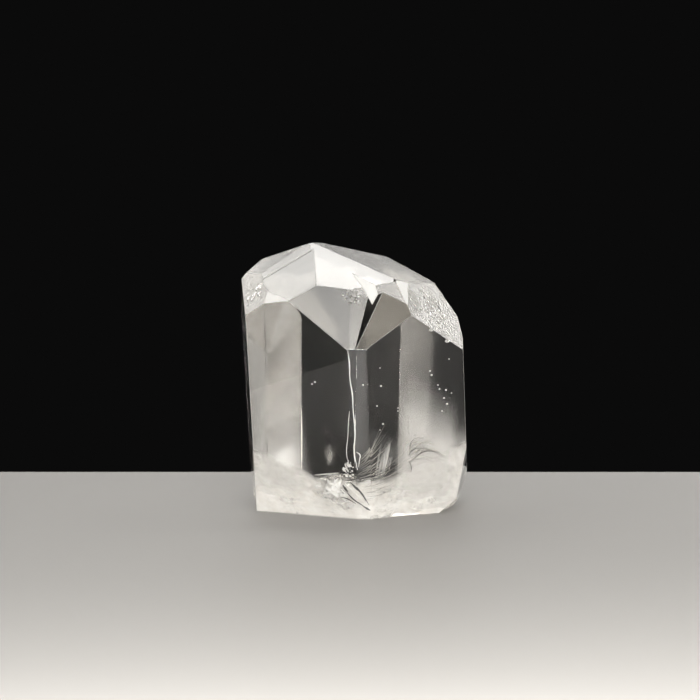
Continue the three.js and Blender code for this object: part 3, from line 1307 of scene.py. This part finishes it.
def fan(
    starts: tuple[Place, Place], ends: tuple[Place, Place], sags: Pair, width: float, count: int
) -> tuple[Thread, ...]:
    """A fan of curved lines, spread evenly between a first and a last one.

    Each line starts a little late and ends a little early, and bows as it likes.

    Args:
        starts: Where the first and the last line begin.
        ends: Where the first and the last line end.
        sags: How far the first and the last line bow out (pixels).
        width: The lines' mean width (mm).
        count: How many lines there are.

    Returns:
        The lines.
    """
    lines = []
    for i in range(count):
        share = i / (count - 1)
        start, end = between(*starts, share), between(*ends, share)
        late, early = uneven(i, 4, 9, 0.0, 0.3), uneven(i, 5, 7, 0.62, 1.0)
        sag = sags[0] + (sags[1] - sags[0]) * share
        sag *= (early - late) * uneven(i, 2, 5, 0.6, 1.4)
        start, end = between(start, end, late), between(start, end, early)
        lines.append(arc(start, end, sag, width * uneven(i, 3, 5, 0.6, 1.4)))
    return tuple(lines)


# The feather: ripples of the crack that climbs to the right from the foot's middle, drawn as grey lines
# of painted light.
FEATHER = fan(
    ((354, 484, 0.5), (356, 464, 0.7)), ((405, 464, 0.7), (384, 422, 0.8)), (-4, -3), 0.024, 20
)
FEATHER_LOW = fan(
    ((362, 500, 0.4), (358, 486, 0.4)), ((396, 488, 0.6), (405, 467, 0.6)), (-4, -4), 0.024, 9
)
# The shell-like ripples right of it, which run out from one point, in dim painted light, and the painted
# shade between them as dark lines.
SHELL = fan(
    ((407, 461, 0.5), (404, 454, 0.5)), ((453, 460, 0.5), (422, 434, 0.5)), (10, 7), 0.034, 8
)
SHELL_PAINTED_SHADE = fan(
    ((407, 463, 0.45), (405, 456, 0.45)), ((452, 462, 0.45), (424, 438, 0.45)), (10, 7), 0.03, 5
)
# The broken crack in the foot's middle: dark slits in painted shade, with bright walls in painted glint.
SLITS = (
    Thread(((342.5, 484.6, 0.12), (345, 488.4, 0.12), (348, 491.6, 0.12)), 0.13),
    Thread(((350, 482, 0.12), (355, 487, 0.12), (361, 493, 0.12), (366, 501, 0.12)), 0.11),
    Thread(((345, 490, 0.12), (352, 498, 0.12), (359, 503, 0.12), (365, 507, 0.12)), 0.07),
    Thread(((357, 487, 0.12), (363, 495, 0.12), (369, 505, 0.12)), 0.055),
    Thread(((340, 497, 0.12), (348, 499, 0.12), (356, 504, 0.12)), 0.055),
    Thread(((363, 506, 0.1), (367, 508.5, 0.1), (370.5, 510.5, 0.1)), 0.09),
)
SLIT_WALLS = (
    Thread(((345, 483.5, 0.2), (351, 489, 0.2), (358, 495, 0.2), (365, 503, 0.2)), 0.08),
    Thread(((340, 488, 0.2), (347, 495, 0.2), (355, 501, 0.2)), 0.07),
    Thread(((341, 504, 0.2), (349, 501.5, 0.2), (357, 506, 0.2), (364, 509.5, 0.2)), 0.05),
)
# The needle line near the front edge, and two shorter ones beside it, painted white as a glint.
TUBES = (
    Thread(
        (
            (347.6, 350, 0.1), (349.3, 362, 0.1), (350, 379, 0.15), (352.4, 395, 0.12),
            (353, 408, 0.15), (354.9, 431, 0.1), (354.6, 453.5, 0.15), (357.5, 470, 0.2),
        ),
        0.06,
    ),
    Thread(
        ((349.5, 411, 0.3), (348.4, 424, 0.3), (347.9, 436, 0.35), (346.6, 453.5, 0.3), (348, 462, 0.3)),
        0.045,
    ),
    Thread(((356.5, 452, 0.3), (360, 455, 0.35), (359.5, 460, 0.3), (358.6, 467, 0.3)), 0.055),
)

# Lines in painted shade: the dark slits, the shade between the shell ripples, and dark lines of cracks
# seen on edge.
SHADE_THREADS = (
    *SLITS,
    *SHELL_PAINTED_SHADE,
    Thread(((409, 461, 0.4), (411.5, 468, 0.4), (411, 472, 0.4)), 0.045),
    Thread(((264, 304, 0.3), (265, 340, 0.3), (266, 375, 0.3)), 0.03),
    Thread(((267, 440, 0.3), (267.2, 449, 0.3), (267, 458, 0.3)), 0.03),
)

# Bubbles and grains, by the pixel that each shows at; they are painted white as glints.
GLINT_SPECKS = (
    (380, 368), (363, 385), (381, 386), (398, 411), (377, 406), (383, 424), (380, 430),
    (430, 371), (431.5, 375), (438, 385), (439.5, 389), (446, 390), (451.5, 393), (444, 398),
    (447, 404), (442, 411), (449, 359), (315, 382), (398, 408), (312, 384),
)

# Specks in painted shade, by the pixel that each shows at.
SHADE_SPECKS = (
    (296, 421), (299, 420.6), (296.5, 433), (408, 422), (408, 428), (408.5, 433), (415, 435),
)


# --- stage ---


@dataclass(frozen=True)
class View:
    """The camera: a long lens a little above the crystal's middle height."""

    elevation: float = 6.0
    distance: float = 260.0
    target: Place = (0.0, 0.0, 7.5)
    frame_px: float = 700.0
    mm_per_px: float = 0.0562
    target_px: Pair = (354.7, 372.8)
    sensor: float = 36.0

    @property
    def back(self) -> Vector:
        """The unit direction from the target to the camera."""
        e = math.radians(self.elevation)
        return Vector((0, -math.cos(e), math.sin(e)))

    @property
    def up(self) -> Vector:
        """The image's upward unit direction."""
        e = math.radians(self.elevation)
        return Vector((0, math.sin(e), math.cos(e)))

    def ray(self, across: float, down: float) -> tuple[Vector, Vector]:
        """The line of sight of a pixel, as its start (mm) and unit direction."""
        target = Vector(self.target)
        start = target + self.back * self.distance
        aside = (across - self.target_px[0]) * self.mm_per_px
        above = (self.target_px[1] - down) * self.mm_per_px
        seen = target + Vector((1, 0, 0)) * aside + self.up * above
        return start, (seen - start).normalized()

    def build(self, offset: Vector) -> Piece:
        """Adds the camera.

        Args:
            offset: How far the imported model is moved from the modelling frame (mm).

        Returns:
            The camera object.
        """
        target = Vector(self.target) + offset
        right = Vector((1, 0, 0))
        middle = self.frame_px / 2
        aim = target - right * (self.target_px[0] - middle) * self.mm_per_px
        aim += self.up * (self.target_px[1] - middle) * self.mm_per_px
        spot = target + self.back * self.distance
        camera = added(bpy.ops.object.camera_add, location=spot * MM)
        camera.name = "camera"
        camera.rotation_euler = (aim - spot).to_track_quat("-Z", "Y").to_euler()
        lens = self.sensor * self.distance / (self.frame_px * self.mm_per_px)
        put(camera.data, sensor_width=self.sensor, lens=lens, clip_start=0.01, clip_end=10.0)
        camera.data.dof.use_dof = False
        bpy.context.scene.camera = camera
        return camera


@dataclass(frozen=True)
class Softbox:
    """One rectangular studio light, aimed at the crystal's middle.

    It stands at an azimuth (degrees, from the front towards +X) and an elevation (degrees)
    as seen from there. Sizes and the distance are in mm.
    """

    name: str
    azimuth: float
    elevation: float
    radiance: float
    size: Pair = (54.0, 22.0)
    distance: float = 110.0
    aim: Place = (0.0, 0.0, 7.0)
    tint: str = "#fffdfa"

    def build(self) -> Piece:
        """Adds the light.

        Returns:
            The light object.
        """
        a, e = math.radians(self.azimuth), math.radians(self.elevation)
        towards = Vector((math.cos(e) * math.sin(a), -math.cos(e) * math.cos(a), math.sin(e)))
        place = Vector(self.aim) + towards * self.distance
        lamp = added(bpy.ops.object.light_add, type="AREA", location=place * MM)
        lamp.name = self.name
        lamp.rotation_euler = towards.to_track_quat("Z", "Y").to_euler()
        width, height = self.size[0] * MM, self.size[1] * MM
        put(lamp.data, shape="RECTANGLE", size=width, size_y=height)
        lamp.data.energy = self.radiance * width * height * math.pi
        lamp.data.color = linear_colour(self.tint)[:3]
        lamp.visible_camera = False
        return lamp


@dataclass
class Studio:
    """A pale matt floor, whose edges and thickness are in mm, soft lights and a dark room."""

    floor_left: float = -23.0
    floor_right: float = 50.0
    floor_front: float = -600.0
    floor_back: float = 15.0
    floor_thickness: float = 2.0
    floor_roughness: float = 0.6
    floor_colour: str = "#82807d"
    room: str = "#0b0b0b"
    lights: tuple[Softbox, ...] = (
        # Low front lights reach the cloudy foot but hardly the floor.
        Softbox("front_low", 0, 3, 112.0, (60, 10)),
        Softbox("front_middle", 0, 13, 20.0),
        Softbox("front_right", 30, 13, 14.0),
        Softbox("front_high", 0, 52, 4.6, (37, 28)),
        # Low side lights fill the prism's pale bands.
        Softbox("side_right", 60, 13, 4.8),
        Softbox("side_left", 300, 16, 1.7, (100, 46)),
        Softbox("back_right", 150, 13, 6.8),
        Softbox("back_low", 180, 9, 4.6, (60, 16)),
        # Back and top lights shine through the roof faces.
        Softbox("back_middle", 180, 24, 0.9, (52, 22)),
        Softbox("back_left", 210, 24, 4.2, (52, 22)),
        Softbox("far_left", 240, 24, 4.4, (52, 22)),
        Softbox("top_left", 210, 52, 5.5, (37, 28)),
        Softbox("top_back", 180, 68, 8.0, (25, 28)),
        Softbox("high_left", 270, 52, 3.0, (37, 28)),
        Softbox("high_right", 120, 52, 6.0, (37, 28)),
    )

    def build(self) -> None:
        """Adds the floor, the lights and the room's own faint light."""
        floor = self._floor()
        for light in self.lights:
            light.build()
        world = bpy.data.worlds.new("dark_room")
        bpy.context.scene.world = world
        world.use_nodes = True
        background = world.node_tree.nodes["Background"]
        background.inputs["Color"].default_value = linear_colour(self.room)

    def _floor(self) -> Piece:
        """Adds the floor, whose top is at height 0, and its matt finish.

        Returns:
            The floor object.
        """
        low = Vector((self.floor_left, self.floor_front, -self.floor_thickness))
        high = Vector((self.floor_right, self.floor_back, 0.0))
        floor = added(bpy.ops.mesh.primitive_cube_add, size=MM, location=(low + high) / 2 * MM)
        floor.name = "floor"
        floor.scale = high - low
        # Without the rotation, rounding leaves the top 1e-10 m above the stone's base, so that
        # the floor shows through it. With the rotation both are at 0 and the base is a mirror.
        bpy.ops.object.transform_apply(location=True, rotation=False, scale=True)
        look = {"Base Color": linear_colour(self.floor_colour), "Roughness": self.floor_roughness}
        floor.data.materials.append(Graph("matt_paper").finish(look))
        return floor


# --- main ---


def groups() -> list[Group]:
    """The fine lines and specks, grouped by their painted light: glint, dim ripple light and shade."""
    glinting = tuple(
        Speck((x, y, uneven(i, 1, 5, 0.8, 2.2)), uneven(i, 1, 3, 0.08, 0.13))
        for i, (x, y) in enumerate(GLINT_SPECKS)
    )
    shaded = tuple(Speck((x, y, 0.4)) for x, y in SHADE_SPECKS)
    return [
        Group("threads_painted_glint", TUBES + SLIT_WALLS, GLINT_PAINT),
        Group("ripple_lines_painted_light", FEATHER + FEATHER_LOW + SHELL, RIPPLE_LIGHT_PAINT),
        Group("cracks_painted_shade", SHADE_THREADS + shaded, SHADE_PAINT),
        Group("specks_painted_glint", glinting, GLINT_PAINT),
        Group("splinters_painted_glint", FLAKES, GLINT_PAINT),
    ]


def settle(piece: Piece, offset: Vector) -> None:
    """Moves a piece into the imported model's frame and turns millimetres into metres.

    Args:
        piece: The finished piece, in the modelling frame (mm).
        offset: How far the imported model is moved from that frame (mm).
    """
    with whole_in_edit_mode(piece):
        bpy.ops.transform.translate(value=offset)
    piece.scale = (MM, MM, MM)
    bpy.ops.object.transform_apply(location=False, rotation=False, scale=True)


def packed_offset(piece: Piece, tolerance: float = 0.2) -> Vector:
    """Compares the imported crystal's box with that of the modelled one.

    Args:
        piece: The modelled crystal (mm).
        tolerance: How much the two may differ in size (mm).

    Returns:
        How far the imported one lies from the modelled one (mm).

    Raises:
        RuntimeError: If their sizes differ, as when a cut has gone wrong.
    """
    low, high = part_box(NODE)
    corners = [v.co for v in piece.data.vertices]
    own_low = Vector(min(c[i] for c in corners) for i in range(3))
    own_high = Vector(max(c[i] for c in corners) for i in range(3))
    packed, own = (high - low) / MM, own_high - own_low
    if max(abs(a - b) for a, b in zip(packed, own)) > tolerance:
        raise RuntimeError(f"the crystal measures {tuple(own)} mm, the packed one {tuple(packed)}")
    middle = (low + high) / 2 / MM - (own_low + own_high) / 2
    return Vector((middle.x, middle.y, low.z / MM - own_low.z))


def let_light_through(scene: bpy.types.Scene) -> None:
    """Lets light bounce as often as it does inside a cut stone, and keeps whites white."""
    scene.view_settings.view_transform = "Standard"
    put(scene.cycles, max_bounces=24, glossy_bounces=20)
    put(scene.cycles, transmission_bounces=24, transparent_max_bounces=32)


def main() -> None:
    """Builds the crystal and the studio round it."""
    logging.basicConfig(level=logging.INFO, format="%(name)s: %(message)s")
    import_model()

    stone, view = Crystal(), View()
    inside = Inside(stone, view)
    crystal = stone.build()
    offset = packed_offset(crystal)
    LOG.info("the packed model lies %s mm off", tuple(round(c, 3) for c in offset))
    pieces = [crystal]
    pieces += [foot.build(inside) for foot in FEET]
    pieces += [sheet.build(inside) for sheet in SHEETS]
    pieces += [group.build(inside) for group in groups()]
    for piece in pieces:
        settle(piece, offset)
        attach(piece, BODY)
        LOG.info("%s: %d faces", piece.name, len(piece.data.polygons))
    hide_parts(NODE)

    let_light_through(bpy.context.scene)
    view.build(offset)
    Studio().build()


if __name__ == "__main__":
    main()
